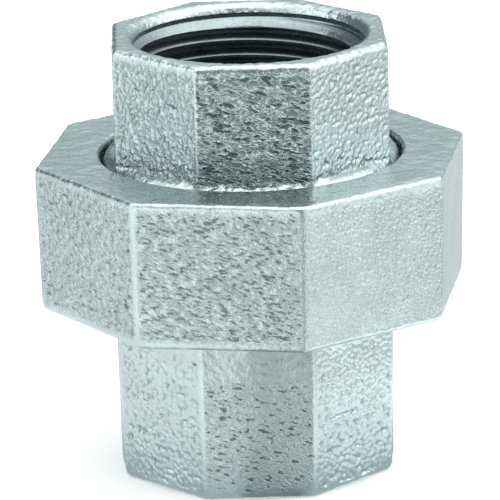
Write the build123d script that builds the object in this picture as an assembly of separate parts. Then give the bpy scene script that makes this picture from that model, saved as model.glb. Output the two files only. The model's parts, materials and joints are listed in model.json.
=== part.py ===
from build123d import *
import math
import os

# Pipe union, 3/4 inch, female to female, flat seat. Millimetres, +Z up along the pipe.
# The origin is the centre of the lower rim, so the fitting stands on z = 0.

# Driving dimensions -------------------------------------------------------------------
LENGTH = 52.0               # face to face with the nut tight

PIPE_PITCH = 25.4 / 14      # 3/4 inch parallel pipe thread, 14 threads an inch
PIPE_MINOR = 24.117         # across the thread's crests, the tapping size
PIPE_CREST = 0.68           # land left between two turns of the groove
PIPE_ROOT = 0.15            # flat at the bottom of the groove
SOCKET_DEPTH = 17.0         # full depth of the tapped socket
WATERWAY_R = 11.0           # bore between socket and seat
MOUTH_R = 13.45             # machined wall just inside the cast rim
MOUTH_DEPTH = 1.6           # from the rim to the foot of that wall, where a countersink starts

BODY_AF = 31.25             # lower octagon across flats, at the rim
BODY_DRAFT = 1.46           # degrees, opening upwards
BODY_TURN = 0.6             # degrees about +Z from a flat that faces -Y
BODY_TOP_Z = 20.0
BODY_FLARE_Z = 16.9         # the octagon starts to flare out here
BODY_FLARE_ROUND = 4.0
COLLAR_R = 19.2             # plain collar under the male thread
THREAD_LOW_Z = 22.2         # the male thread's lower end
SEAT_Z = 28.0               # flat seat on top of the lower casting

TAIL_AF = 31.75             # upper octagon across flats
TAIL_TURN = 1.36            # degrees about +Z
NECK_R = 17.4               # round neck inside the lip's hole
NECK_TOP_Z = 36.6
TAIL_FLARE_ROUND = 2.4      # from the neck up to the octagon's flats
FLANGE_R = 19.2
FLANGE_TOP_Z = 34.3

NUT_AF = 46.95              # at the nut's lower face
NUT_DRAFT = 1.17            # degrees, opening upwards
NUT_TURN = -9.5             # degrees about +Z
NUT_LOW_Z = 20.5
NUT_TOP_Z = 37.9
LIP_HOLE_R = 17.7           # lets the upper octagon's corners pass
LIP_GAP = 0.05              # between the lip and the flange
NUT_RELIEF_R = 21.15        # recess above the nut's thread, where the flange sits
NUT_RELIEF_Z = 32.0
NUT_MOUTH_R = 21.3          # chamfer at the nut's open end

UNION_PITCH = 25.4 / 11     # G 1 1/4 thread between the nut and the lower casting
UNION_MAJOR = 41.910
UNION_MINOR = 38.952
UNION_LAND = 0.385          # flat at a crest and at a root
THREAD_PLAY = 0.16          # radial, which frees the flanks too
THREAD_CHAMFER = 1.2

GASKET_T = 2.0
GASKET_R = 18.6
GASKET_HOLE_R = 12.5

RIM_ROUND = 0.7             # outer edge of a mouth's rim
RIM_INNER_ROUND = 1.0
CORNER_ROUND = 1.0          # upright edges of the end octagons
NUT_CORNER_ROUND = 1.0
NUT_EDGE_ROUND = 0.6
FLANGE_CHAMFER = 0.5
REACH = 0.3                 # how far a cutting tool goes past the surface it cuts
THREAD_START = 42.0         # degrees about +Z where each helix starts

# Worked out ---------------------------------------------------------------------------
PIPE_R = PIPE_MINOR / 2
HALF_ANGLE = math.tan(math.radians(55 / 2))      # both threads have 55 degree flanks
BODY_FLAT_R = BODY_AF / 2 + BODY_FLARE_Z * math.tan(math.radians(BODY_DRAFT))
TAIL_LOW_Z = SEAT_Z + GASKET_T
LIP_Z = FLANGE_TOP_Z + LIP_GAP
UP = (Align.CENTER, Align.CENTER, Align.MIN)


def round_bar(radius, low, high):
    """A plain cylinder on the pipe axis."""
    return Pos(0, 0, low) * Cylinder(radius, high - low, align=UP)


def tapered_bar(radius_low, radius_high, low, high):
    """A cone frustum on the pipe axis."""
    return Pos(0, 0, low) * Cone(radius_low, radius_high, high - low, align=UP)


def octagonal_bar(across_flats, low, high, turn, corner, draft=0.0):
    """An octagonal prism with rounded upright edges, sized at its lower end."""
    outline = RegularPolygon(across_flats / 2, 8, major_radius=False, rotation=turn + 22.5)
    bar = extrude(Pos(0, 0, low) * outline, high - low, taper=-draft)
    middle = (low + high) / 2
    upright = [edge for edge in bar.edges() if abs(edge.center().Z - middle) < 0.01]
    return fillet(upright, corner)


def edges_at(solid, height, radius=None):
    """The edges that lie at one height, or only the circle of one radius there."""
    level = [edge for edge in solid.edges() if abs(edge.bounding_box().center().Z - height) < 0.01
             and edge.bounding_box().size.Z < 0.01]
    if radius is None:
        return level
    circles = [edge for edge in level if edge.geom_type == GeomType.CIRCLE]
    return [edge for edge in circles if abs(edge.radius - radius) < 0.01]


def thread_groove(mouth_r, mouth_w, root_r, root_w, pitch, low, high):
    """The V of a thread along its helix, from low to high measured at its middle.

    It is cut into a shaft where root_r is the smaller radius, and into a hole otherwise.
    """
    depth = abs(mouth_r - root_r)
    outside = REACH if mouth_r > root_r else -REACH
    open_r = mouth_r + outside
    open_w = mouth_w + (mouth_w - root_w) * REACH / depth
    path = Helix(pitch=pitch, height=high - low, radius=open_r, center=(0, 0, low))
    outline = Plane.XZ * Polyline(
        (open_r, low - open_w / 2),
        (root_r, low - root_w / 2),
        (root_r, low + root_w / 2),
        (open_r, low + open_w / 2),
        close=True,
    )
    return Rot(0, 0, THREAD_START) * sweep(make_face(outline), path=path, is_frenet=True)


def socket_tool():
    """The tapped socket as a solid, with its mouth at z = 0 and its end at SOCKET_DEPTH."""
    mouth_w = PIPE_PITCH - PIPE_CREST
    depth = (mouth_w - PIPE_ROOT) / 2 / HALF_ANGLE
    tool = round_bar(PIPE_R, -PIPE_PITCH * 2, SOCKET_DEPTH)
    tool += thread_groove(
        PIPE_R, mouth_w, PIPE_R + depth, PIPE_ROOT, PIPE_PITCH, -PIPE_PITCH, SOCKET_DEPTH - 2.0
    )
    tool += round_bar(MOUTH_R, -PIPE_PITCH * 2, MOUTH_DEPTH)
    tool += tapered_bar(MOUTH_R, PIPE_R, MOUTH_DEPTH, MOUTH_DEPTH + MOUTH_R - PIPE_R)
    tool += tapered_bar(PIPE_R, WATERWAY_R, SOCKET_DEPTH, SOCKET_DEPTH + PIPE_R - WATERWAY_R)
    return tool


def flare(inner_r, outer_r, start, rounding, step):
    """A round flare that leaves radius inner_r at height start and grows to outer_r.

    step is +1 where it grows upwards and -1 where it grows downwards.
    """
    rise = math.sqrt(rounding ** 2 - (rounding - (outer_r - inner_r)) ** 2)
    middle = math.asin(rise / rounding) / 2
    profile = Polyline(
        (inner_r, start),
        (0, start),
        (0, start + step * rise),
        (outer_r, start + step * rise),
    )
    through = (
        inner_r + rounding * (1 - math.cos(middle)),
        start + step * rounding * math.sin(middle),
    )
    curve = ThreePointArc((outer_r, start + step * rise), through, (inner_r, start))
    return revolve(Plane.XZ * make_face([*profile.edges(), curve.edge()]), Axis.Z)


def make_body_end():
    """Lower casting: octagonal socket, flared collar, male thread and flat seat."""
    casting = octagonal_bar(BODY_AF, 0, BODY_TOP_Z, BODY_TURN, CORNER_ROUND, BODY_DRAFT)
    casting = fillet(edges_at(casting, 0), RIM_ROUND)
    casting += flare(BODY_FLAT_R, COLLAR_R, BODY_FLARE_Z, BODY_FLARE_ROUND, 1)
    casting += round_bar(COLLAR_R, BODY_TOP_Z, THREAD_LOW_Z)
    casting -= round_bar(MOUTH_R, 0, MOUTH_DEPTH)
    casting = fillet(edges_at(casting, 0, MOUTH_R), RIM_INNER_ROUND)
    crest_r = UNION_MAJOR / 2 - THREAD_PLAY
    root_r = UNION_MINOR / 2 - THREAD_PLAY
    screw = round_bar(crest_r, SEAT_Z - 5 * UNION_PITCH, SEAT_Z + 2 * UNION_PITCH)
    screw -= thread_groove(
        crest_r, UNION_PITCH - UNION_LAND, root_r, UNION_LAND, UNION_PITCH,
        SEAT_Z - 4 * UNION_PITCH, SEAT_Z + UNION_PITCH,
    )
    envelope = round_bar(crest_r + REACH, THREAD_LOW_Z, SEAT_Z)
    ends = envelope.edges().filter_by(GeomType.CIRCLE)
    casting += screw & chamfer(ends, THREAD_CHAMFER + REACH)
    casting -= socket_tool()
    casting -= round_bar(WATERWAY_R, 0, SEAT_Z + 1)
    return casting


def make_gasket():
    """Flat sealing ring between the seat and the flange."""
    return round_bar(GASKET_R, SEAT_Z, TAIL_LOW_Z) - round_bar(GASKET_HOLE_R, SEAT_Z, TAIL_LOW_Z)


def make_tail_end():
    """Upper casting: octagonal socket, round neck and the flange that the nut pulls down."""
    casting = octagonal_bar(TAIL_AF, NECK_TOP_Z, LENGTH, TAIL_TURN, CORNER_ROUND)
    casting = fillet(edges_at(casting, LENGTH), RIM_ROUND)
    rise = math.sqrt(
        TAIL_FLARE_ROUND ** 2 - (TAIL_FLARE_ROUND - (NECK_R - TAIL_AF / 2)) ** 2
    )
    casting += flare(TAIL_AF / 2, NECK_R, NECK_TOP_Z + rise, TAIL_FLARE_ROUND, -1)
    casting += round_bar(NECK_R, FLANGE_TOP_Z, NECK_TOP_Z)
    flange = round_bar(FLANGE_R, TAIL_LOW_Z, FLANGE_TOP_Z)
    casting += chamfer(flange.edges().filter_by(GeomType.CIRCLE), FLANGE_CHAMFER)
    to_top = Pos(0, 0, LENGTH) * Rot(180, 0, 0)
    casting -= to_top * round_bar(MOUTH_R, 0, MOUTH_DEPTH)
    casting = fillet(edges_at(casting, LENGTH, MOUTH_R), RIM_INNER_ROUND)
    casting -= to_top * socket_tool()
    casting -= round_bar(WATERWAY_R, TAIL_LOW_Z - 1, LENGTH)
    return casting


def make_union_nut():
    """Octagonal nut with an inside lip at the top and its thread below."""
    nut = octagonal_bar(NUT_AF, NUT_LOW_Z, NUT_TOP_Z, NUT_TURN, NUT_CORNER_ROUND, NUT_DRAFT)
    nut = fillet(edges_at(nut, NUT_TOP_Z) + edges_at(nut, NUT_LOW_Z), NUT_EDGE_ROUND)
    crest_r = UNION_MINOR / 2
    root_r = UNION_MAJOR / 2
    bore = round_bar(crest_r, NUT_LOW_Z - 2 * UNION_PITCH, LIP_Z)
    # The groove takes the male thread's ridges, which lie half a turn from its grooves.
    bore += thread_groove(
        crest_r, UNION_PITCH - UNION_LAND, root_r, UNION_LAND, UNION_PITCH,
        SEAT_Z - 4.5 * UNION_PITCH, SEAT_Z + 2.5 * UNION_PITCH,
    )
    bore += round_bar(NUT_RELIEF_R, NUT_RELIEF_Z, LIP_Z)
    bore += tapered_bar(NUT_MOUTH_R, crest_r, NUT_LOW_Z, NUT_LOW_Z + NUT_MOUTH_R - crest_r)
    nut -= bore
    nut -= round_bar(LIP_HOLE_R, LIP_Z - 1, NUT_TOP_Z + 1)
    return nut


def main():
    pieces = {
        "body_end": make_body_end(),
        "gasket": make_gasket(),
        "tail_end": make_tail_end(),
        "union_nut": make_union_nut(),
    }
    os.makedirs("parts", exist_ok=True)
    for name, piece in pieces.items():
        solid = piece.solids()[0]
        solid.label = name
        export_step(solid, f"parts/{name}.step")
        print(name, len(piece.solids()), "solid", round(solid.volume), "mm3")


main()
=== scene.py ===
import json
import math

import bmesh
import bpy
import numpy as np
from mathutils import Matrix, Vector


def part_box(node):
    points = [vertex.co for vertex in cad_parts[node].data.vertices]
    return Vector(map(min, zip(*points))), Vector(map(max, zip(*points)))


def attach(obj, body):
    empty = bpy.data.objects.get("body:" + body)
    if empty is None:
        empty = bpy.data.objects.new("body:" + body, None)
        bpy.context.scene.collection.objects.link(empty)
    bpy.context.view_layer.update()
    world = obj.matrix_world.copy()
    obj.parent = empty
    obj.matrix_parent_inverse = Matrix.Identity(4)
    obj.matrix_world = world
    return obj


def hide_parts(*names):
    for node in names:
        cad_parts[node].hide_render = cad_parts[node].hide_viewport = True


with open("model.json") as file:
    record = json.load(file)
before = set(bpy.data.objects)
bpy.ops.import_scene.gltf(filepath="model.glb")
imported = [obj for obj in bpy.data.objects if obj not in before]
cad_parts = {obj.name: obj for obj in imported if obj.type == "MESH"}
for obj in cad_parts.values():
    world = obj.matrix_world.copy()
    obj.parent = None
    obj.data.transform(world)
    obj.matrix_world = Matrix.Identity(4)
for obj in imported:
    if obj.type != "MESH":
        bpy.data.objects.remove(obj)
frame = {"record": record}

# A galvanised 3/4 inch pipe union. Shapes are worked out in millimetres on the pipe axis,
# +Z up, and become metres when a mesh is made.

MM = 0.001
TAU = 2 * math.pi
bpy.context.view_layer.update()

# Sizes that the frame gives ------------------------------------------------------------


def span(node):
    """Lowest and highest z of a CAD node, in millimetres."""
    low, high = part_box(node)
    return low[2] / MM, high[2] / MM


def reach(node):
    """Largest distance from the axis along X, in millimetres."""
    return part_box(node)[1][0] / MM


BODY_LOW, SEAT_Z = span("body_end")
TAIL_LOW, TAIL_TOP = span("tail_end")
NUT_LOW, NUT_TOP = span("union_nut")
GASKET_LOW, GASKET_TOP = span("gasket")
GASKET_R = reach("gasket")
FLANGE_R = reach("tail_end")
SCREW_R = reach("body_end")
SOCKET_R = frame["record"]["mounts"][0]["dims"]["r_mm"]

# Sizes of the castings -----------------------------------------------------------------

FRONT = 0.75                    # direction of the front, in turns from +X
EIGHTH = TAU / 8                # from one flat of an octagon to the next
CORNER_HALF = EIGHTH / 2        # from an octagon's corner to the middle of a flat
WATERWAY_R = 11.0
SOCKET_DEPTH = 16.6
PIPE_PITCH = 25.4 / 14
PIPE_GROOVE = 1.08              # depth of the pipe thread
PIPE_TAPER = 0.25               # how much wider its crests are at the mouth
PIPE_PHASE = 0.08               # the part of a turn by which its crests are moved on
PIPE_RUN_OUT = 2.5              # height above its bottom where the grooves start to fade
THROAT = 1.1                    # height of the cone between the socket and the waterway
MOUTH_R = 13.45                 # machined wall just under the cast rim
MOUTH_LIP = 1.05                # from the rim down to that wall
MOUTH_WALL = 0.55               # its height
RIM_CROWN_R = 14.75             # where the rim's top starts to fall inwards
RIM_EDGE = 0.8                  # rounding of its outer edge
BELL_SLOPE = 1.25               # how fast the countersink closes in at its top
BELL_EASE = 0.28                # how much of that it loses with each millimetre
BELL_HEIGHT = 1.6               # where its slope stops changing

BODY_FLAT = 15.66               # half the lower octagon across flats, at the rim
BODY_DRAFT = 0.0255
BODY_TURN = math.radians(0.6)
BODY_CORNER = 1.0
BODY_FLARE = 16.9               # where the octagon starts to open towards the collar
BODY_FLARE_ROUND = 4.6
COLLAR_R = 19.2
COLLAR_HEIGHT = 0.6             # its turned part, under the thread
SCREW_LOW = 22.2
SEAT_R = SCREW_R - 1.55

TAIL_FLAT = 15.9
TAIL_TURN = math.radians(1.36)
TAIL_CORNER = 0.6
TAIL_FLARE_ROUND = 1.6
NECK_R = 17.4
NECK_TOP = 36.6
FLANGE_TOP = 34.3
FLANGE_EDGE = 0.5

NUT_FLAT = 23.49                # at the nut's lower face
NUT_DRAFT = 0.0204
NUT_TURN = math.radians(-9.5)
NUT_CORNER = 1.3
NUT_EDGE = 0.6                  # rounding of its upper edge
NUT_FOOT_EDGE = 0.65            # and of its lower one
LIP_HOLE_R = 17.7
LIP_EDGE = 0.5
LIP_UNDER = 34.35
NUT_RELIEF_R = 21.1
NUT_RELIEF_LOW = 32.0
NUT_MOUTH = 0.3                 # how much wider than the relief the nut's lower end is

UNION_PITCH = 25.4 / 11
UNION_GROOVE = 1.479
NUT_CREST_R = 38.952 / 2
GASKET_HOLE_R = 12.5
GASKET_EDGE = 0.25

# Columns of points round the axis on cast skin, with fewer on threads and inside. A piece
# stays under the 200,000 triangles that the export leaves as they are.
TAIL_COLUMNS = 552
BODY_COLUMNS = 504
NUT_COLUMNS = 640
GASKET_COLUMNS = 192
TAIL_ROW = 0.15                 # height of a row of cast skin on the tail
CAST_ROW = 0.17                 # the same on the body and the nut
PIPE_ROWS = 14                  # rows in a pitch of each thread
UNION_ROWS = 12


# Noise ---------------------------------------------------------------------------------


def noise_tables(seed=11):
    """A shuffled table, unit gradients for lattice noise and points for cells."""
    draw = np.random.RandomState(seed)
    table = draw.permutation(256)
    arrows = draw.normal(size=(256, 3))
    arrows /= np.linalg.norm(arrows, axis=1)[:, None]
    return table, arrows, draw.uniform(0.1, 0.9, size=(256, 2))


TABLE, ARROWS, SPOTS = noise_tables()


def noise(x, y, z):
    """Smooth gradient noise, about -1 to 1, with features about one unit across."""
    cell = [np.floor(c).astype(int) for c in (x, y, z)]
    part = [c - i for c, i in zip((x, y, z), cell)]
    ease = [f * f * f * (f * (f * 6 - 15) + 10) for f in part]
    total = 0.0
    for corner in np.ndindex(2, 2, 2):
        index = 0
        weight = 1.0
        offset = []
        for axis in range(3):
            index = TABLE[(index + cell[axis] + corner[axis]) % 256]
            near = ease[axis] if corner[axis] else 1 - ease[axis]
            weight = weight * near
            offset.append(part[axis] - corner[axis])
        arrow = ARROWS[index]
        dot = sum(arrow[..., axis] * offset[axis] for axis in range(3))
        total = total + weight * dot
    return total * 1.6


def layered(x, y, z, size, layers=3, keep=0.5):
    """Several layers of noise, each half the size of the one before."""
    total = 0.0
    strength = 1.0
    for layer in range(layers):
        grow = 2.0 ** layer / size
        shift = 17.3 * layer
        total = total + strength * noise(x * grow + shift, y * grow - shift, z * grow + shift)
        strength *= keep
    return total


def cells(x, y, layer):
    """Distance to the nearest of scattered points, about one to each unit square."""
    column, row = np.floor(x).astype(int), np.floor(y).astype(int)
    nearest = np.full(x.shape, 9.0)
    for step_x, step_y in np.ndindex(3, 3):
        i, j = column + step_x - 1, row + step_y - 1
        spot = SPOTS[TABLE[(TABLE[(i + layer.astype(int)) % 256] + j) % 256]]
        nearest = np.minimum(nearest, np.hypot(i + spot[..., 0] - x, j + spot[..., 1] - y))
    return nearest


def smooth_step(value, low, high):
    t = np.clip((value - low) / (high - low), 0, 1)
    return t * t * (3 - 2 * t)


# Outlines ------------------------------------------------------------------------------


def octagon(angle, apothem, corner, turn):
    """Radius of an octagon with rounded corners, in the direction angle from +X."""
    from_corner = np.abs(np.mod(angle - turn, 2 * CORNER_HALF) - CORNER_HALF)
    centre = (apothem - corner) / math.cos(CORNER_HALF)
    tangent = np.arctan2(
        corner * math.sin(CORNER_HALF), centre + corner * math.cos(CORNER_HALF)
    )
    flat = apothem / np.cos(CORNER_HALF - from_corner)
    inside = np.maximum(corner ** 2 - (centre * np.sin(from_corner)) ** 2, 0)
    arc = centre * np.cos(from_corner) + np.sqrt(inside)
    return np.where(from_corner < tangent, arc, flat)


def smooth_max(a, b, width):
    """The larger of two, blended where they differ by less than width."""
    h = np.maximum(width - np.abs(a - b), 0) / width
    return np.maximum(a, b) + h * h * width / 4


def whitworth(phase):
    """How deep a thread's groove is, 0 on a crest and 1 in a root, at a phase of its pitch."""
    away = np.abs(phase - np.round(phase)) * 2
    flank = np.clip((away - 1 / 6) / (2 / 3), 0, 1)
    return 0.75 * flank + 0.25 * smooth_step(flank, 0, 1)


# Rows of points ------------------------------------------------------------------------
# A band is a pair of arrays, radius and height, with one row for each step along the
# profile and one column for each direction round the axis. The last column repeats the
# first. Bands and threads are welded into one closed skin.


def directions(count):
    return np.arange(count + 1) * TAU / count


def circles(points, spacing, angle):
    """Rows of circles along a broken line of (radius, height) points."""
    rows = []
    for (r0, z0), (r1, z1) in zip(points, points[1:]):
        steps = max(1, math.ceil(math.hypot(r1 - r0, z1 - z0) / spacing))
        for step in range(steps):
            t = step / steps
            rows.append((r0 + (r1 - r0) * t, z0 + (z1 - z0) * t))
    rows.append(points[-1])
    radius, height = np.array(rows).T
    return radius[:, None] + 0 * angle, height[:, None] + 0 * angle


def rim(angle, wall, end, inward):
    """The cast rim of a mouth, from the outer wall over the crown to the machined wall.

    end is the rim's height, and inward is -1 at a top and +1 at a bottom.
    """
    inner = np.minimum(RIM_CROWN_R, wall - RIM_EDGE - 0.05)
    radii = []
    heights = []
    for turn in np.linspace(0, TAU / 4, 7):
        radii.append(wall - RIM_EDGE * (1 - math.cos(turn)))
        heights.append(end + inward * RIM_EDGE * (1 - math.sin(turn)) + 0 * angle)
    for share in np.linspace(0, 1, 6)[1:]:
        radii.append((wall - RIM_EDGE) * (1 - share) + inner * share)
        heights.append(end + 0 * angle)
    for turn in np.linspace(0, TAU / 4, 9)[1:]:
        radii.append(inner - (inner - MOUTH_R) * math.sin(turn))
        heights.append(end + inward * MOUTH_LIP * (1 - math.cos(turn)) + 0 * angle)
    return np.array(radii), np.array(heights)


def helix_rows(start, stop, pitch, per_turn, angle, radius):
    """Rows that climb with a thread, cut off flat at start and stop.

    radius(height, turns) gives the surface, where turns counts the pitches from z = 0
    less the turn round the axis.
    """
    low, high = min(start, stop), max(start, stop)
    count = math.ceil((high - low) / pitch * per_turn) + per_turn
    level = high - np.arange(count + 1)[:, None] * pitch / per_turn
    height = np.clip(level + pitch * angle / TAU, low, high)
    turns = height / pitch - angle / TAU
    shape = radius(height, turns)
    if start < stop:
        return shape[::-1], height[::-1]
    return shape, height


def pipe_thread(end, outward, angle):
    """A tapped socket behind the rim at height end, from its machined wall to the waterway.

    outward is +1 at a top mouth and -1 at a bottom one. Gives the wall, the countersink and
    thread, how far each of their points is thread, and the throat.
    """
    wall_top = end - outward * MOUTH_LIP
    cone_top = wall_top - outward * MOUTH_WALL
    bottom = end - outward * SOCKET_DEPTH

    def bell(height):
        """How far the countersink has closed in, steep at first and then flatter."""
        below = (cone_top - height) * outward
        return below * (BELL_SLOPE - BELL_EASE * np.minimum(below, BELL_HEIGHT))

    def surface(height, turns):
        depth = (end - height) * outward
        crest = SOCKET_R + PIPE_TAPER * (1 - depth / SOCKET_DEPTH)
        fade = smooth_step(SOCKET_DEPTH - depth, 0.4, PIPE_RUN_OUT)
        thread = crest + fade * PIPE_GROOVE * whitworth(turns - PIPE_PHASE)
        return smooth_max(thread, MOUTH_R - bell(height), 0.06)

    wall = circles([(MOUTH_R, wall_top), (MOUTH_R, cone_top)], 0.15, angle)
    radius, height = helix_rows(cone_top, bottom, PIPE_PITCH, PIPE_ROWS, angle, surface)
    tapped = smooth_step(radius - MOUTH_R + bell(height), 0.03, 0.12)
    throat = circles([(SOCKET_R, bottom), (WATERWAY_R, bottom - outward * THROAT)], 0.5, angle)
    return wall, (radius, height), tapped, throat


# Cast relief ---------------------------------------------------------------------------
# Each face of an octagon has its own roughness.

FOLD_SHADE = 4.0                # painted shade in folds and crinkles, for each millimetre of depth
PEBBLE_SHADE = 1.8              # and painted shade in the joints between pebbles


def folded(across, along, layer):
    """Ridges that lean over on one side, 0 on their backs and 1 in the folds between."""
    bend = 0.5 * noise(across / 1.7, along / 1.7, layer + 40)
    lean = noise(across, along + bend, layer)
    wave = layered(across, along + bend - 0.45 * lean, layer, 1.0, 3, 0.55)
    return smooth_step(np.abs(wave), 0.75, 0.0)


def relief(radius, height, flats, turn, kinds, pebble_size, margin):
    """How far an octagon's sides are sunk, how much painted shade lies in its folds and pebble
    joints, how grainy and how pitted.

    kinds has a row of eight strengths for each of folds, crinkles, pebbles, grain and pits.
    The relief fades over margin towards the corners.
    """
    angle = directions(radius.shape[1] - 1) + 0 * radius
    face = np.round((angle - turn) / EIGHTH)
    middle = face * EIGHTH + turn
    along = radius * np.sin(angle - middle)
    half = flats * math.tan(CORNER_HALF)
    flat = smooth_step(half - np.abs(along), 0.0, margin)
    index = np.mod(face + 8 - 8 * FRONT, 8).astype(int)
    layer = index * 7.31 + 0.5      # so that each face has its own slice of the noise
    fold, crinkle, pebble, grain, pitted = (np.take(strength, index) for strength in kinds)

    folds = folded(along / 1.35, height / 0.62, layer)
    crinkles = folded((height + 0.3 * along) / 1.1, along / 0.55, layer + 60)
    bend = 0.4 * noise(along / 1.5, height / 1.5, layer + 80)
    domes = cells(along / pebble_size + bend, height / pebble_size + bend, layer)
    domes = np.clip(domes, 0, 1) ** 2
    sunk = fold * folds + crinkle * crinkles + pebble * domes
    creases = fold * folds ** 2 + crinkle * crinkles ** 2
    # Painted shade, darkest in the creases of folds and crinkles and in the joints between
    # pebbles.
    dark = FOLD_SHADE * creases + PEBBLE_SHADE * pebble * domes
    return flat * sunk, flat * np.clip(dark, 0, 1), grain, flat * pitted


def bumpy(radius, height, size, depth):
    """Rounded bumps the same all round, for rims and flares."""
    angle = directions(radius.shape[1] - 1)
    x, y = radius * np.cos(angle), radius * np.sin(angle)
    value = 0.5 - 0.5 * np.clip(layered(x, y, height, size, 3), -1, 1)
    return depth * value


def sink(radius, height, depth, climb):
    """Moves each row's points into the metal by depth, square to the profile.

    climb is +1 where the rows climb the outside, and -1 where they go down it.
    """
    along_r = np.gradient(radius, axis=0)
    along_z = np.gradient(height, axis=0)
    inwards = climb * depth / np.maximum(np.hypot(along_r, along_z), 1e-9)
    return radius - inwards * along_z, height + inwards * along_r


# Skins ---------------------------------------------------------------------------------


# Marks on every point: how far it is cast skin, how much painted shade darkens it in a fold,
# cut by a tool, grainy and pitted.
MARKS = ("cast", "dark", "bare", "grain", "pitted")
WELD = 1e-5                     # points that round to the same multiple are one point
SHARP_ANGLE = math.radians(35)


class Skin:
    """A closed mesh made of sheets of rows, welded where their edges meet."""

    def __init__(self):
        self.points = []
        self.marks = []
        self.triangles = []
        self.total = 0

    def add_points(self, radius, height, *levels):
        angle = directions(radius.shape[1] - 1) + 0 * radius
        place = np.stack([radius * np.cos(angle), radius * np.sin(angle), height], axis=-1)
        mark = np.stack([level + 0 * radius for level in levels], axis=-1)
        first = self.total
        self.points.append(place.reshape(-1, 3))
        self.marks.append(mark.reshape(-1, len(MARKS)))
        self.total += radius.size
        return first + np.arange(radius.size).reshape(radius.shape)

    def sheet(self, radius, height, cast=0.0, dark=0.0, bare=0.0, grain=0.3, pitted=0.0):
        """A grid of rows, with its marks."""
        index = self.add_points(radius, height, cast, dark, bare, grain, pitted)
        a, b = index[:-1, :-1], index[:-1, 1:]
        c, d = index[1:, 1:], index[1:, :-1]
        self.triangles.append(np.stack([a, b, c], axis=-1).reshape(-1, 3))
        self.triangles.append(np.stack([a, c, d], axis=-1).reshape(-1, 3))

    def sheet_after(self, before, radius, height, **marks):
        """A sheet that goes on from another's last row, where marks that vary start at 0."""
        for name, mark in marks.items():
            if np.ndim(mark):
                marks[name] = np.concatenate([0 * radius[:1], mark])
        self.sheet(np.concatenate([before[0][-1:], radius]),
                   np.concatenate([before[1][-1:], height]), **marks)

    def narrow(self, fine, coarse, bare=0.0):
        """Joins a ring to one with as many points, half as many or a quarter."""
        if fine[0].size == coarse[0].size:
            pair = [np.stack(both) for both in zip(fine, coarse)]
            self.sheet(*pair, bare=bare)
        elif fine[0].size - 1 == 2 * (coarse[0].size - 1):
            self.step(fine, coarse, bare)
        else:
            middle = [(f[::4] + c) / 2 for f, c in zip(fine, coarse)]
            between = [np.interp(np.arange(0, m.size - 0.5, 0.5), np.arange(m.size), m)
                       for m in middle]
            self.step(fine, between, bare)
            self.step(between, coarse, bare)

    def step(self, fine, coarse, bare):
        """Joins a ring to one with half as many points."""
        index_fine, index_coarse = (
            self.add_points(ring[0][None], ring[1][None], 0.0, 0.0, bare, 0.0, 0.0)[0]
            for ring in (fine, coarse)
        )
        near, far = index_coarse[:-1], index_coarse[1:]
        before, middle, after = index_fine[:-1:2], index_fine[1::2], index_fine[2::2]
        for corners in ((near, before, middle), (near, middle, far), (far, middle, after)):
            self.triangles.append(np.stack(corners, axis=-1))

    def weld(self):
        """Points, marks and triangles with equal points joined and empty faces dropped."""
        points = np.concatenate(self.points)
        marks = np.concatenate(self.marks)
        grid = np.round(points / WELD).astype(np.int64)
        _, first, group = np.unique(grid, axis=0, return_index=True, return_inverse=True)
        faces = group.reshape(-1)[np.concatenate(self.triangles)]
        a, b, c = faces.T
        faces = faces[(a != b) & (b != c) & (c != a)]
        return points[first], marks[first], faces


def piece_from(skin, name, body, node, material):
    """The Blender object of a skin, standing for its CAD node and moving with its body."""
    points, marks, faces = skin.weld()
    mesh = bpy.data.meshes.new(name)
    mesh.from_pydata(points * MM, [], faces)
    for column, label in enumerate(MARKS):
        layer = mesh.attributes.new(label, "FLOAT", "POINT")
        layer.data.foreach_set("value", marks[:, column].astype(np.float32))
    mesh.shade_smooth()
    mesh.set_sharp_from_angle(angle=SHARP_ANGLE)
    obj = bpy.data.objects.new(name, mesh)
    bpy.context.scene.collection.objects.link(obj)
    make_outward(obj)
    mesh.materials.append(material)
    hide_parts(node)
    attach(obj, body)
    return obj


def make_outward(obj):
    """Turns every face so that its front is outside."""
    shape = bmesh.new()
    shape.from_mesh(obj.data)
    bmesh.ops.recalc_face_normals(shape, faces=shape.faces)
    shape.to_mesh(obj.data)
    shape.free()


# The pieces ----------------------------------------------------------------------------

# Relief on the eight faces, from the front face round to the right: depth in millimetres of
# folds, crinkles and pebbles, then how grainy and how pitted the face is, from 0 to 1.
TAIL_RELIEF = (
    (0.09, 0.00, 0.00, 0.12, 0.16, 0.00, 0.00, 0.00),
    (0.00, 0.05, 0.05, 0.00, 0.00, 0.05, 0.08, 0.15),
    (0.00, 0.30, 0.16, 0.10, 0.00, 0.16, 0.12, 0.13),
    (0.05, 0.25, 0.40, 0.40, 0.20, 0.40, 0.40, 0.40),
    (1.00, 0.00, 0.20, 0.50, 0.80, 0.20, 0.00, 0.20),
)
NUT_RELIEF = (
    (0.03, 0.00, 0.00, 0.06, 0.03, 0.00, 0.00, 0.00),
    (0.00, 0.00, 0.00, 0.00, 0.00, 0.00, 0.00, 0.00),
    (0.07, 0.03, 0.01, 0.06, 0.06, 0.14, 0.06, 0.26),
    (0.38, 0.58, 0.30, 0.50, 0.38, 0.50, 0.50, 0.34),
    (0.90, 0.15, 0.00, 0.60, 0.90, 0.30, 0.60, 0.60),
)
BODY_RELIEF = (
    (0.00, 0.00, 0.00, 0.08, 0.00, 0.00, 0.00, 0.00),
    (0.00, 0.00, 0.03, 0.00, 0.00, 0.03, 0.00, 0.00),
    (0.00, 0.31, 0.26, 0.16, 0.03, 0.26, 0.26, 0.34),
    (0.20, 0.26, 0.20, 0.30, 0.20, 0.20, 0.20, 0.26),
    (0.78, 0.00, 0.00, 0.30, 0.78, 0.00, 0.20, 0.00),
)


COUNTERSINK_BARE = 0.6          # the countersink is paler than the thread below it
WALL_BARE = 0.8                 # and so is the machined wall above it


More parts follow.
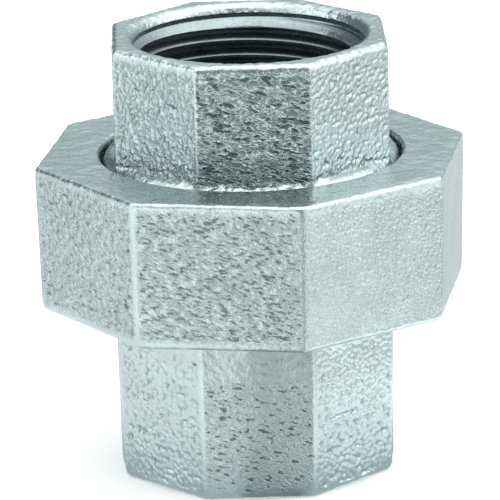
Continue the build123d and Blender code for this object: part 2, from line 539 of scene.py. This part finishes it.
def add_socket(skin, rim_ring, end, outward, angle, far_ring):
    """Adds a tapped socket and its waterway to a skin, from the rim's ring to the far ring."""
    wall, thread, tapped, throat = pipe_thread(end, outward, angle)
    skin.narrow(rim_ring, (wall[0][1], wall[1][1]), 1.0)
    skin.sheet(wall[0][1:], wall[1][1:], bare=WALL_BARE)
    skin.sheet(*thread, bare=COUNTERSINK_BARE + (1 - COUNTERSINK_BARE) * tapped)
    room_to_widen = 0.4 if far_ring[0].size > angle.size else 0
    far_end = far_ring[1][0] + room_to_widen * outward
    channel = circles([(WATERWAY_R, throat[1][-1, 0]), (WATERWAY_R, far_end)], 1.0, angle)
    skin.sheet(*throat, bare=1.0)
    skin.sheet(*channel, cast=0.4)
    skin.narrow(far_ring, (channel[0][-1], channel[1][-1]))


def make_tail(material):
    """Upper casting: flange, round neck, flare, octagon, cast rim and tapped socket."""
    angle, inner = directions(TAIL_COLUMNS), directions(TAIL_COLUMNS // 4)
    flange_inner = FLANGE_R - FLANGE_EDGE
    below = circles(
        [(WATERWAY_R, TAIL_LOW), (flange_inner, TAIL_LOW), (FLANGE_R, TAIL_LOW + FLANGE_EDGE),
         (FLANGE_R, FLANGE_TOP - FLANGE_EDGE), (flange_inner, FLANGE_TOP), (NECK_R, FLANGE_TOP)],
        1.2, angle,
    )
    levels = np.arange(FLANGE_TOP + 0.3, TAIL_TOP - RIM_EDGE - 0.05, TAIL_ROW)
    height = levels[:, None] + 0 * angle
    wall = octagon(angle, TAIL_FLAT, TAIL_CORNER, TAIL_TURN)
    drop = np.clip(height - NECK_TOP, 0, TAIL_FLARE_ROUND)
    arc = np.sqrt(np.maximum(TAIL_FLARE_ROUND ** 2 - drop ** 2, 0))
    side = smooth_max(wall + 0 * height, NECK_R - TAIL_FLARE_ROUND + arc, 0.3)
    crown, crown_height = rim(angle, wall, TAIL_TOP, -1)
    radius = np.concatenate([side, crown])
    height = np.concatenate([height, crown_height])
    below_rim = smooth_step(TAIL_TOP - height, 0.5, 1.6)
    on_side = smooth_step(height, NECK_TOP + 1.1, NECK_TOP + 1.8) * below_rim
    sunk, dark, grain, pitted = relief(
        radius, height, TAIL_FLAT, TAIL_TURN, TAIL_RELIEF, pebble_size=0.62, margin=0.25
    )
    depth = on_side * sunk + (1 - below_rim) * bumpy(radius, height, 1.0, 0.14)
    # The foot is lumpy, most of all in front, where painted shade also darkens the face above it.
    foot = smooth_step(height, NECK_TOP + 1.9, NECK_TOP + 1.5)
    front = smooth_step(np.abs(angle / TAU - FRONT), 0.068, 0.058)
    depth = depth + foot * (0.35 + 0.65 * front) * bumpy(radius, height, 0.8, 0.34)
    # Painted shade on the front face just above the foot.
    dark = dark + 0.42 * front * smooth_step(height, NECK_TOP + 6.5, NECK_TOP + 2.5)
    depth[0] = 0            # the first and last rows stay in place, to meet the next sheets
    depth[-1] = 0
    radius, height = sink(radius, height, depth, 1)

    skin = Skin()
    skin.sheet(*below)
    skin.sheet_after(
        below, radius, height, cast=1.0, dark=on_side * np.minimum(dark, 1),
        grain=on_side * grain + 0.25 * (1 - on_side), pitted=on_side * pitted,
    )
    add_socket(skin, (radius[-1], height[-1]), TAIL_TOP, 1, inner, (below[0][0], below[1][0]))
    return piece_from(skin, "tail_casting", "tail", "tail_end", material)


def make_body(material):
    """Lower casting: seat, male thread, collar, flare, octagon, cast rim and tapped socket."""
    fine, half, inner = (directions(BODY_COLUMNS // share) for share in (1, 2, 4))
    seat = circles([(WATERWAY_R, SEAT_Z), (SEAT_R, SEAT_Z)], 1.5, half)

    def surface(height, turns):
        thread = SCREW_R - UNION_GROOVE * whitworth(turns)
        top = SEAT_R + (SEAT_Z - height)
        low = COLLAR_R + (height - SCREW_LOW)
        return np.minimum(np.minimum(thread, top), low)

    screw = helix_rows(SEAT_Z, SCREW_LOW, UNION_PITCH, UNION_ROWS, half, surface)
    collar_low = SCREW_LOW - COLLAR_HEIGHT
    collar = circles([(COLLAR_R, SCREW_LOW), (COLLAR_R, collar_low)], 0.3, half)

    height = np.arange(collar_low - 0.3, RIM_EDGE + 0.05, -CAST_ROW)[:, None] + 0 * fine
    wall = octagon(fine, BODY_FLAT + BODY_DRAFT * height, BODY_CORNER, BODY_TURN)
    rise = np.clip(height - BODY_FLARE, 0, BODY_FLARE_ROUND)
    flare = BODY_FLAT + 0.25 + BODY_FLARE_ROUND - np.sqrt(BODY_FLARE_ROUND ** 2 - rise ** 2)
    side = np.minimum(smooth_max(wall, flare, 1.2), COLLAR_R)
    foot = octagon(fine, BODY_FLAT, BODY_CORNER, BODY_TURN)
    crown, crown_height = rim(fine, foot, BODY_LOW, 1)
    radius = np.concatenate([side, crown])
    height = np.concatenate([height, crown_height])
    above_rim = smooth_step(height, 0.4, 1.5)
    below_flare = smooth_step(BODY_FLARE - 1.2 - height, 0, 2.5)
    on_side = below_flare * above_rim
    pebbled = smooth_step(BODY_FLARE + 2.4 - height, 0, 3.0) * above_rim
    sunk, dark, grain, pitted = relief(
        radius, height, BODY_FLAT, BODY_TURN, BODY_RELIEF, pebble_size=0.66, margin=0.5
    )
    depth = pebbled * sunk + (1 - above_rim) * bumpy(radius, height, 0.9, 0.16)
    depth = depth + (1 - below_flare) * bumpy(radius, height, 0.9, 0.06)
    depth[:3] = 0
    depth[-1] = 0
    radius, height = sink(radius, height, depth, -1)

    skin = Skin()
    skin.sheet(*seat, bare=1.0)
    skin.sheet(*screw, bare=1.0)
    skin.sheet(*collar, bare=1.0)
    skin.narrow((radius[0], height[0]), (collar[0][-1], collar[1][-1]))
    skin.sheet(radius, height, 1.0, pebbled * dark,
               grain=on_side * grain + 0.2 * (1 - on_side), pitted=on_side * pitted)
    add_socket(skin, (radius[-1], height[-1]), BODY_LOW, -1, inner, (seat[0][0], seat[1][0]))
    return piece_from(skin, "body_casting", "body", "body_end", material)


def make_nut(material):
    """Octagonal nut: lip, top face, octagon, open end, thread and relief for the flange."""
    fine, inner = directions(NUT_COLUMNS), directions(NUT_COLUMNS // 4)
    lip = circles([(LIP_HOLE_R, LIP_UNDER), (LIP_HOLE_R, NUT_TOP - LIP_EDGE)], 0.6, fine)
    inside = LIP_HOLE_R + LIP_EDGE

    def wall(level):
        return octagon(fine, NUT_FLAT + NUT_DRAFT * (level - NUT_LOW), NUT_CORNER, NUT_TURN)

    top_wall, foot_wall = wall(NUT_TOP), wall(NUT_LOW)
    radii, heights = [], []
    for turn in np.linspace(0, TAU / 4, 5)[1:]:
        radii.append(LIP_HOLE_R + LIP_EDGE * (1 - math.cos(turn)) + 0 * fine)
        heights.append(NUT_TOP - LIP_EDGE * (1 - math.sin(turn)) + 0 * fine)
    for share in np.linspace(0, 1, 20)[1:]:
        radii.append(inside * (1 - share) + (top_wall - NUT_EDGE) * share)
        heights.append(NUT_TOP + 0 * fine)
    for turn in np.linspace(0, TAU / 4, 7)[1:-1]:
        radii.append(top_wall - NUT_EDGE * (1 - math.sin(turn)))
        heights.append(NUT_TOP - NUT_EDGE * (1 - math.cos(turn)) + 0 * fine)
    for level in np.arange(NUT_TOP - NUT_EDGE, NUT_LOW + NUT_FOOT_EDGE - 0.05, -CAST_ROW):
        radii.append(wall(level))
        heights.append(level + 0 * fine)
    for turn in np.linspace(0, TAU / 4, 7)[1:]:
        radii.append(foot_wall - NUT_FOOT_EDGE * (1 - math.cos(turn)))
        heights.append(NUT_LOW + NUT_FOOT_EDGE * (1 - math.sin(turn)) + 0 * fine)
    radius, height = np.array(radii), np.array(heights)
    from_top = smooth_step(NUT_TOP - height, 0.5, 1.5)
    on_side = from_top * smooth_step(height - NUT_LOW, 0.5, 1.6)
    outside = smooth_step(radius, inside + 1.0, inside + 3.0)
    on_edge = smooth_step(radius - top_wall, -1.6, -0.5) * (1 - on_side)
    sunk, dark, grain, pitted = relief(
        radius, height, NUT_FLAT, NUT_TURN, NUT_RELIEF, pebble_size=0.8, margin=0.7
    )
    depth = on_side * sunk + on_edge * bumpy(radius, height, 1.5, 0.12)
    depth = depth + 0.06 * outside * (1 - on_side) * bumpy(radius, height, 3.0, 1.0)
    depth[0] = 0
    depth[-1] = 0
    radius, height = sink(radius, height, depth, -1)
    cast = from_top + 0.6 * on_edge * (1 - from_top)

    mouth_r = NUT_RELIEF_R + NUT_MOUTH

    def surface(height, turns):
        thread = NUT_CREST_R + UNION_GROOVE * whitworth(turns + 0.5)
        mouth = mouth_r - (height - NUT_LOW)
        end = NUT_RELIEF_R - (NUT_RELIEF_LOW - height)
        return np.maximum(np.maximum(thread, mouth), end)

    thread = helix_rows(NUT_LOW, NUT_RELIEF_LOW, UNION_PITCH, UNION_ROWS, inner, surface)
    under = circles([(mouth_r + 0.6, NUT_LOW), (mouth_r, NUT_LOW)], 1.0, inner)
    recess = circles(
        [(NUT_RELIEF_R, NUT_RELIEF_LOW), (NUT_RELIEF_R, LIP_UNDER),
         (LIP_HOLE_R + 0.6, LIP_UNDER)],
        1.0, inner,
    )
    skin = Skin()
    skin.sheet(*lip)
    skin.sheet_after(
        lip, radius, height, cast=cast, dark=on_side * dark,
        grain=on_side * grain + 0.3 * (1 - on_side), pitted=on_side * pitted,
    )
    skin.narrow((radius[-1], height[-1]), (under[0][0], under[1][0]))
    skin.sheet(*under, bare=1.0)
    skin.sheet(*thread, bare=1.0)
    skin.sheet(*recess, bare=1.0)
    skin.narrow((lip[0][0], lip[1][0]), (recess[0][-1], recess[1][-1]))
    return piece_from(skin, "nut_casting", "nut", "union_nut", material)


def make_gasket(material):
    """Flat ring with slightly rounded edges."""
    angle = directions(GASKET_COLUMNS)
    soft = GASKET_EDGE
    low, high = GASKET_LOW, GASKET_TOP
    outline = [
        (GASKET_HOLE_R + soft, low), (GASKET_R - soft, low), (GASKET_R, low + soft),
        (GASKET_R, high - soft), (GASKET_R - soft, high), (GASKET_HOLE_R + soft, high),
        (GASKET_HOLE_R, high - soft), (GASKET_HOLE_R, low + soft), (GASKET_HOLE_R + soft, low),
    ]
    skin = Skin()
    skin.sheet(*circles(outline, 0.4, angle))
    return piece_from(skin, "gasket_ring", "body", "gasket", material)


# Materials -----------------------------------------------------------------------------


class Nodes:
    """Short calls for building the node tree of a material or a world."""

    def __init__(self, owner, coordinates="Object"):
        owner.use_nodes = True
        self.owner = owner
        self.tree = owner.node_tree
        self.place = self.add("ShaderNodeTexCoord").outputs[coordinates]
        self.shader = self.tree.nodes.get("Principled BSDF")

    def add(self, kind, **settings):
        node = self.tree.nodes.new(kind)
        for key, value in settings.items():
            setattr(node, key, value)
        return node

    def put(self, value, socket):
        if isinstance(value, bpy.types.NodeSocket):
            self.tree.links.new(value, socket)
        else:
            socket.default_value = value

    def mark(self, name):
        return self.add("ShaderNodeAttribute", attribute_name=name).outputs["Fac"]

    def noise(self, scale, detail=2.0, rough=0.5, stretch=(1, 1, 1), warp=0.0, slope=0.0):
        """Noise with scale features to a millimetre, stretched along axes that slope."""
        mapping = self.add("ShaderNodeMapping", vector_type="TEXTURE")
        self.put(self.place, mapping.inputs["Vector"])
        mapping.inputs["Rotation"].default_value = (0, math.radians(slope), 0)
        mapping.inputs["Scale"].default_value = [MM * s for s in stretch]
        node = self.add("ShaderNodeTexNoise")
        self.put(mapping.outputs[0], node.inputs["Vector"])
        node.inputs["Scale"].default_value = scale
        node.inputs["Detail"].default_value = detail
        node.inputs["Roughness"].default_value = rough
        node.inputs["Distortion"].default_value = warp
        return node.outputs["Fac"]

    def cells(self, scale):
        """Distance to the nearest of scattered points, scale of them to a millimetre."""
        mapping = self.add("ShaderNodeMapping")
        self.put(self.place, mapping.inputs["Vector"])
        mapping.inputs["Scale"].default_value = [1 / MM] * 3
        node = self.add("ShaderNodeTexVoronoi")
        self.put(mapping.outputs[0], node.inputs["Vector"])
        node.inputs["Scale"].default_value = scale
        return node.outputs["Distance"]

    def math(self, operation, a, b=0.0, c=0.0, clamp=False):
        node = self.add("ShaderNodeMath", operation=operation, use_clamp=clamp)
        for socket, value in zip(node.inputs, (a, b, c)):
            self.put(value, socket)
        return node.outputs[0]

    def spread(self, value, low, high, to_low=0.0, to_high=1.0):
        """Goes smoothly from to_low to to_high while value goes from low to high."""
        node = self.add("ShaderNodeMapRange", interpolation_type="SMOOTHSTEP")
        for socket, number in zip(node.inputs, (value, low, high, to_low, to_high)):
            self.put(number, socket)
        return node.outputs[0]

    def ramp(self, value, tones, tint):
        """A grey of one tint that goes through (value, tone) pairs."""
        start, end = tones[0][0], tones[-1][0]
        node = self.add("ShaderNodeMapRange")
        for socket, number in zip(node.inputs, (value, start, end, 0.0, 1.0)):
            self.put(number, socket)
        band = self.add("ShaderNodeValToRGB")
        band.color_ramp.interpolation = "EASE"
        self.put(node.outputs[0], band.inputs[0])
        stops = band.color_ramp.elements
        for place, _ in tones[1:-1]:
            stops.new((place - start) / (end - start))
        for stop, (_, tone) in zip(stops, tones):
            stop.color = grey(tone, tint)
        return band.outputs[0]

    def mix(self, share, a, b):
        node = self.add("ShaderNodeMix", data_type="RGBA")
        self.put(share, node.inputs[0])
        self.put(a, node.inputs[6])
        self.put(b, node.inputs[7])
        return node.outputs[2]

    def bump(self, height, strength, distance, below=None):
        """Relief of distance millimetres on top of the normal below, sunk where it is negative."""
        node = self.add("ShaderNodeBump")
        self.put(strength, node.inputs["Strength"])
        node.inputs["Distance"].default_value = distance * MM
        self.put(height, node.inputs["Height"])
        if below is not None:
            self.put(below, node.inputs["Normal"])
        return node.outputs["Normal"]


def grey(level, tint=(0.87, 1.0, 1.0)):
    return tuple(level * part for part in tint) + (1.0,)


ZINC = 0.6                      # how much light the coating gives back
PIT_SHADE = 0.85                # how far painted shade takes pits, folds and pebble joints towards its colour
CUT_ROUGHER = 0.05              # what a cut thread adds to the roughness
SKIN_DULL = grey(ZINC * 0.95)
SKIN_BRIGHT = grey(ZINC * 1.04)
# Colour of the painted shade in pits, folds and pebble joints.
PAINTED_PIT_SHADE = grey(ZINC * 0.24, (0.60, 0.97, 1.0))
CUT_DULL = grey(ZINC * 0.34, (0.74, 0.97, 1.0))
CUT_BRIGHT = grey(ZINC * 0.47, (0.76, 0.97, 1.0))
FIBRE_DARK = (0.018, 0.018, 0.02, 1.0)
FIBRE_PALE = (0.05, 0.045, 0.04, 1.0)


def galvanised(name, pit_scale, fold):
    """Zinc-coated casting: rough pale skin with painted shade in its pits and folds, and darker
    cut threads.

    pit_scale is how fine the pits are, and fold is how high the ridges beside them stand.
    """
    n = Nodes(bpy.data.materials.new(name))
    cast, dark, bare, grain, pitted = (n.mark(label) for label in MARKS)
    cloud = n.noise(0.22, 3.0, 0.6)
    speck = n.noise(2.6, 3.0, 0.65)
    fine = n.noise(6.0, 2.0, 0.6)
    streak = n.noise(4.0, 3.0, 0.6, (8, 1, 1))
    pebble = n.cells(2.2)
    hollow = n.noise(pit_scale, 2.0, 0.5, (2.8, 2.8, 1), 0.35, 15)
    # Mask of the pits, used for their bumps and their painted shade.
    pit = n.spread(n.math("MULTIPLY_ADD", pitted, -0.2, hollow), 0.245, 0.175)
    skin = n.mix(n.spread(cloud, 0.35, 0.65), SKIN_DULL, SKIN_BRIGHT)
    # Painted shade in pits, folds and pebble joints.
    skin = n.mix(n.math("MULTIPLY", n.math("MAXIMUM", dark, pit), PIT_SHADE), skin, PAINTED_PIT_SHADE)
    cut = n.mix(n.spread(cloud, 0.3, 0.7), CUT_DULL, CUT_BRIGHT)
    n.put(n.mix(bare, skin, cut), n.shader.inputs["Base Color"])
    n.shader.inputs["Metallic"].default_value = 1.0
    polish = n.spread(speck, 0.3, 0.7, 0.30, 0.21)
    n.put(n.math("MULTIPLY_ADD", bare, CUT_ROUGHER, polish), n.shader.inputs["Roughness"])
    grainy = n.math("MULTIPLY", cast, grain)
    grains = n.math("MULTIPLY", pebble, pebble)
    normal = n.bump(grains, n.math("MULTIPLY", grainy, grainy), -0.45)
    ridge = n.spread(n.math("ABSOLUTE", n.math("SUBTRACT", hollow, 0.5)), 0.07, 0.0)
    normal = n.bump(ridge, pitted, fold, normal)
    normal = n.bump(pit, cast, -0.28, normal)
    normal = n.bump(speck, grainy, 0.22, normal)
    # Faces that are neither cast skin nor cut threads are turned, then coated.
    turned = n.math("SUBTRACT", n.math("SUBTRACT", 1.0, cast), bare, clamp=True)
    normal = n.bump(n.noise(0.6, 2.0, 0.5), turned, 0.25, normal)
    normal = n.bump(n.spread(speck, 0.60, 0.66), turned, 0.09, normal)
    fleck = n.math("ADD", grainy, n.math("MULTIPLY", turned, 0.15), clamp=True)
    normal = n.bump(fine, fleck, 0.06, normal)
    n.put(n.bump(streak, turned, 0.02, normal), n.shader.inputs["Normal"])
    return n.owner


def fibre(name):
    """Dark compressed-fibre gasket."""
    n = Nodes(bpy.data.materials.new(name))
    strands = n.noise(3.0, 4.0, 0.7, (4, 4, 1))
    colour = n.mix(n.spread(strands, 0.35, 0.65), FIBRE_DARK, FIBRE_PALE)
    n.put(colour, n.shader.inputs["Base Color"])
    n.put(n.spread(strands, 0.3, 0.7, 0.75, 0.9), n.shader.inputs["Roughness"])
    n.put(n.bump(strands, 0.5, 0.08), n.shader.inputs["Normal"])
    return n.owner


# Studio --------------------------------------------------------------------------------


def make_camera():
    """A long lens from the front and a little above, leaning slightly."""
    distance = 581.5
    height = math.radians(16.79)
    lean = math.radians(-1.37)
    centre = Vector((0, 0, 25.0))
    target = Vector((-0.39, 0, 25.54))
    place = centre + distance * Vector((0, -math.cos(height), math.sin(height)))
    data = bpy.data.cameras.new("camera")
    data.sensor_width = 36
    data.lens = 356.5
    data.clip_start = 0.01
    data.clip_end = 50
    camera = bpy.data.objects.new("camera", data)
    bpy.context.scene.collection.objects.link(camera)
    look = (target - place).to_track_quat("-Z", "Y").to_matrix().to_4x4()
    camera.matrix_world = Matrix.Translation(place * MM) @ look @ Matrix.Rotation(lean, 4, "Z")
    bpy.context.scene.camera = camera


def card(name, half, height):
    """A level square sheet of the studio; half is half its side, in millimetres."""
    corners = [(-half, -half), (half, -half), (half, half), (-half, half)]
    mesh = bpy.data.meshes.new(name)
    mesh.from_pydata([(x * MM, y * MM, height * MM) for x, y in corners], [], [(0, 1, 2, 3)])
    sheet = bpy.data.objects.new(name, mesh)
    bpy.context.scene.collection.objects.link(sheet)
    return sheet


def make_floor():
    """A white floor that glows a little, so that it stays white round the shadow."""
    floor = card("floor", half=3000, height=0)
    n = Nodes(bpy.data.materials.new("floor"))
    n.shader.inputs["Base Color"].default_value = (0.85, 0.85, 0.85, 1)
    n.shader.inputs["Emission Color"].default_value = (1, 1, 1, 1)
    n.shader.inputs["Emission Strength"].default_value = 0.3
    n.shader.inputs["Roughness"].default_value = 1.0
    n.shader.inputs["Specular IOR Level"].default_value = 0.0
    floor.data.materials.append(n.owner)


# How brightly the reflecting card glows at each x, in metres, and its colours elsewhere.
CARD_TONES = (
    (-0.14, 1.42), (-0.08, 1.20), (0.00, 1.35), (0.035, 1.70), (0.085, 0.50),
    (0.112, 0.48), (0.14, 1.00),
)
CARD_TINT = (0.945, 1.0, 1.0)
CARD_BEHIND = (0.82, 0.88, 0.88, 1.0)
CARD_AHEAD = (1.56, 1.68, 1.68, 1.0)
CARD_BESIDE = (0.50, 0.56, 0.56, 1.0)
CARD_GLOW = (1.50, 1.55, 1.55, 1.0)
# Colour of the painted shadow of the part on the card round its foot.
CARD_PAINTED_SHADOW = (0.56, 0.67, 0.68, 1.0)
CARD_DARK = (0.015, 0.04, 0.045, 1.0)


def make_reflector():
    """A card on the floor that only gloss shows, with the tones that the faces mirror.

    It is grey behind the part, carries a painted shadow of the part round its foot, and is dark in
    a wedge out in front of it. Its bands are placed in metres from the axis.
    """
    sheet = card("reflector", half=1500, height=0.2)
    n = Nodes(bpy.data.materials.new("reflector"))
    split = n.add("ShaderNodeSeparateXYZ")
    n.put(n.place, split.inputs[0])
    x, y = split.outputs["X"], split.outputs["Y"]
    away = n.add("ShaderNodeVectorMath", operation="LENGTH")
    n.put(n.place, away.inputs[0])
    ahead = n.math("MULTIPLY", y, -1.0)

    tone = n.ramp(x, CARD_TONES, CARD_TINT)
    tone = n.mix(n.spread(y, 0.015, 0.05), tone, CARD_BEHIND)
    tone = n.mix(n.spread(ahead, 0.05, 0.08), tone, CARD_AHEAD)
    beside = n.math("MULTIPLY", n.spread(ahead, 0.022, 0.034), n.spread(x, 0.02, 0.045))
    beside = n.math("MULTIPLY", beside, n.spread(x, 0.13, 0.11, 0.0, 0.75))
    tone = n.mix(beside, tone, CARD_BESIDE)
    glow = n.math("MULTIPLY", n.spread(x, 0.112, 0.124), n.spread(x, 0.150, 0.138))
    tone = n.mix(n.math("MULTIPLY", glow, n.spread(ahead, 0.04, 0.025)), tone, CARD_GLOW)
    # Painted shadow of the part round its foot.
    tone = n.mix(n.spread(away.outputs["Value"], 0.016, 0.035), CARD_PAINTED_SHADOW, tone)

    far = n.math("MULTIPLY", n.spread(ahead, 0.0, 0.01), n.spread(ahead, 0.06, 0.12, 0.52, 1.0))
    far = n.math("MULTIPLY", far, n.spread(ahead, 0.14, 0.18, 1.0, 0.7))
    off_middle = n.math("ABSOLUTE", n.math("SUBTRACT", n.math("DIVIDE", x, ahead), 0.11))
    wedge = n.math("MULTIPLY", far, n.spread(off_middle, 0.30, 0.17))
    n.shader.inputs["Base Color"].default_value = (0, 0, 0, 1)
    n.shader.inputs["Specular IOR Level"].default_value = 0.0
    n.put(n.mix(wedge, tone, CARD_DARK), n.shader.inputs["Emission Color"])
    n.shader.inputs["Emission Strength"].default_value = 1.0
    sheet.data.materials.append(n.owner)
    sheet.visible_camera = False
    sheet.visible_diffuse = False
    sheet.visible_shadow = False


PANEL_SIZE = (260, 300)
PANEL_AIM = (0, 0, 26)          # the middle of the part


def make_panel(name, place, power):
    """A soft lamp at place, in millimetres."""
    data = bpy.data.lights.new(name, "AREA")
    data.shape = "RECTANGLE"
    data.size, data.size_y = (side * MM for side in PANEL_SIZE)
    data.energy = power
    lamp = bpy.data.objects.new(name, data)
    bpy.context.scene.collection.objects.link(lamp)
    direction = Vector(PANEL_AIM) - Vector(place)
    lamp.matrix_world = (Matrix.Translation(Vector(place) * MM)
                         @ direction.to_track_quat("-Z", "Y").to_matrix().to_4x4())
    return lamp


# The colours of the room in different directions.
SIDES = (0.98, 1.04, 1.04, 1.0)
CEILING = (2.0, 2.0, 2.0, 1.0)
REAR_LOW = (0.45, 0.55, 0.56, 1.0)
REAR_HIGH = (0.72, 0.82, 0.83, 1.0)
FRONT_STRIP = (0.09, 0.15, 0.16, 1.0)
REAR_LEFT = (0.14, 0.19, 0.20, 1.0)


def make_surround():
    """A white room, brightest overhead, grey behind, dark in front and at the rear left."""
    world = bpy.data.worlds.new("surround")
    n = Nodes(world, "Generated")
    split = n.add("ShaderNodeSeparateXYZ")
    n.put(n.place, split.inputs[0])
    x, y, z = split.outputs
    rear = n.mix(n.spread(z, 0.1, 0.5), REAR_LOW, REAR_HIGH)
    room = n.mix(n.spread(y, 0.0, 0.45), SIDES, rear)
    room = n.mix(n.spread(n.math("MULTIPLY_ADD", x, 0.2, z), 0.42, 0.97), room, CEILING)
    off_middle = n.math("ABSOLUTE", n.math("SUBTRACT", x, 0.05))
    strip = n.math("MULTIPLY", n.spread(off_middle, 0.36, 0.22), n.spread(y, -0.2, -0.5))
    room = n.mix(n.math("MULTIPLY", strip, n.spread(z, 0.80, 0.50)), room, FRONT_STRIP)
    wing = n.math("SUBTRACT", n.math("MULTIPLY", y, 0.56), n.math("MULTIPLY", x, 0.83))
    wing = n.math("MULTIPLY", n.spread(wing, 0.62, 0.78), n.spread(z, 0.75, 0.62))
    n.put(n.mix(wing, room, REAR_LEFT), n.tree.nodes["Background"].inputs["Color"])
    bpy.context.scene.world = world


def make_light():
    make_surround()
    make_panel("right_panel", (420, -20, 196), 0.31)
    make_panel("left_panel", (-420, -40, 196), 0.34)


def main():
    bpy.context.scene.view_settings.view_transform = "Standard"
    make_camera()
    make_light()
    make_floor()
    make_reflector()
    make_tail(galvanised("tail_zinc", pit_scale=1.6, fold=0.16))
    make_body(galvanised("body_zinc", pit_scale=2.8, fold=0.03))
    make_nut(galvanised("nut_zinc", pit_scale=3.3, fold=0.15))
    make_gasket(fibre("gasket_fibre"))


main()
